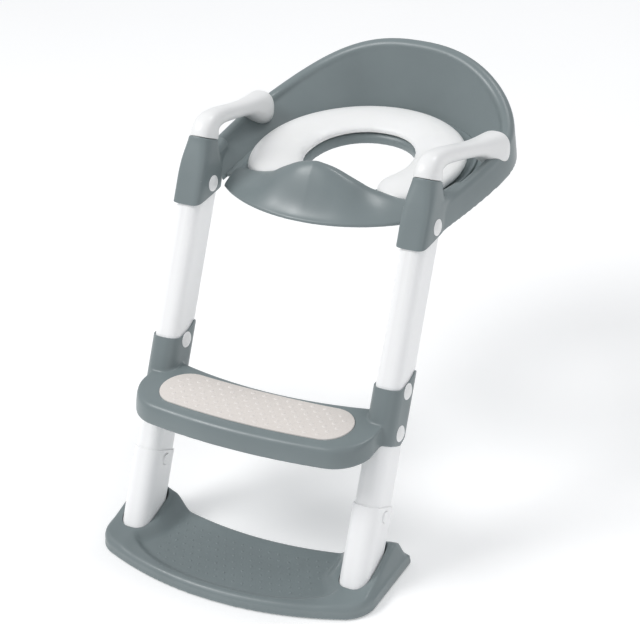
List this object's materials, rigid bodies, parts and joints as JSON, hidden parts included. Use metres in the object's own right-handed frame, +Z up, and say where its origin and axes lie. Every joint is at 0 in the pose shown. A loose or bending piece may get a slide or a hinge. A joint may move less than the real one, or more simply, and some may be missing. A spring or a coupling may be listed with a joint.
{
  "type": "potty training chair",
  "caption": "Child's toilet training seat with a backrest, armrest handles and a soft ring cushion, carried by a leaning one-step ladder with adjustable feet.",
  "frame": {"origin": "on the floor at the middle of the foot base, on the underside of the long anti-slip strip", "axes": "+X to the right of someone facing the ladder; +Y back towards the toilet tank; +Z up"},
  "size_m": [0.392, 0.646, 0.484],
  "materials": {
    "grey_plastic": "satin moulded polypropylene, slate grey",
    "white_plastic": "satin-gloss moulded plastic, white",
    "white_cushion": "soft foam under a wipe-clean coated fabric skin, satin white",
    "mat_rubber": "soft anti-slip rubber, warm beige",
    "dark_rubber": "anti-slip rubber, dark grey",
    "steel": "plated steel"
  },
  "bodies": {
    "base": {"foot_base": "grey_plastic", "grip_strips": "dark_rubber", "left_sleeve": "white_plastic", "right_sleeve": "white_plastic", "sleeve_screws": "steel"},
    "ladder": {"left_lower_tube": "white_plastic", "right_lower_tube": "white_plastic", "left_upper_tube": "white_plastic", "right_upper_tube": "white_plastic", "step_platform": "grey_plastic", "step_mat": "mat_rubber", "step_barrel_nuts": "steel", "step_screws": "steel", "step_caps": "white_plastic", "button_springs": "steel", "hinge_plugs": "white_plastic"},
    "seat": {"backrest_shell": "grey_plastic", "seat_base": "grey_plastic", "seat_base_screws": "steel", "left_handle": "white_plastic", "right_handle": "white_plastic", "handle_screws": "steel", "hinge_barrel_nuts": "steel", "hinge_screws": "steel", "hinge_caps": "white_plastic", "rim_pads": "dark_rubber"},
    "cushion": {"seat_cushion": "white_cushion"},
    "left_inner_button": {"button_left_inner": "white_plastic"},
    "left_outer_button": {"button_left_outer": "white_plastic"},
    "right_inner_button": {"button_right_inner": "white_plastic"},
    "right_outer_button": {"button_right_outer": "white_plastic"}
  },
  "joints": [
    {"name": "height_slide", "type": "slide", "parent": "base", "child": "ladder", "axis": [0, 0.4924, 0.8704], "range_m": [0, 0.04]},
    {"name": "seat_fold", "type": "hinge", "parent": "ladder", "child": "seat", "pos_m": [0, 0.25348, 0.40385], "axis": [-1, 0, 0], "range_deg": [0, 60]},
    {"name": "cushion_lift", "type": "slide", "parent": "seat", "child": "cushion", "axis": [0, 0, 1], "range_m": [0, 0.06]},
    {"name": "left_inner_press", "type": "slide", "parent": "base", "child": "left_inner_button", "axis": [-1, 0, 0], "range_m": [0, 0.003], "stiffness_N_per_m": 900},
    {"name": "left_outer_press", "type": "slide", "parent": "base", "child": "left_outer_button", "axis": [1, 0, 0], "range_m": [0, 0.003], "stiffness_N_per_m": 900},
    {"name": "right_inner_press", "type": "slide", "parent": "base", "child": "right_inner_button", "axis": [1, 0, 0], "range_m": [0, 0.003], "stiffness_N_per_m": 900},
    {"name": "right_outer_press", "type": "slide", "parent": "base", "child": "right_outer_button", "axis": [-1, 0, 0], "range_m": [0, 0.003], "stiffness_N_per_m": 900}
  ]
}
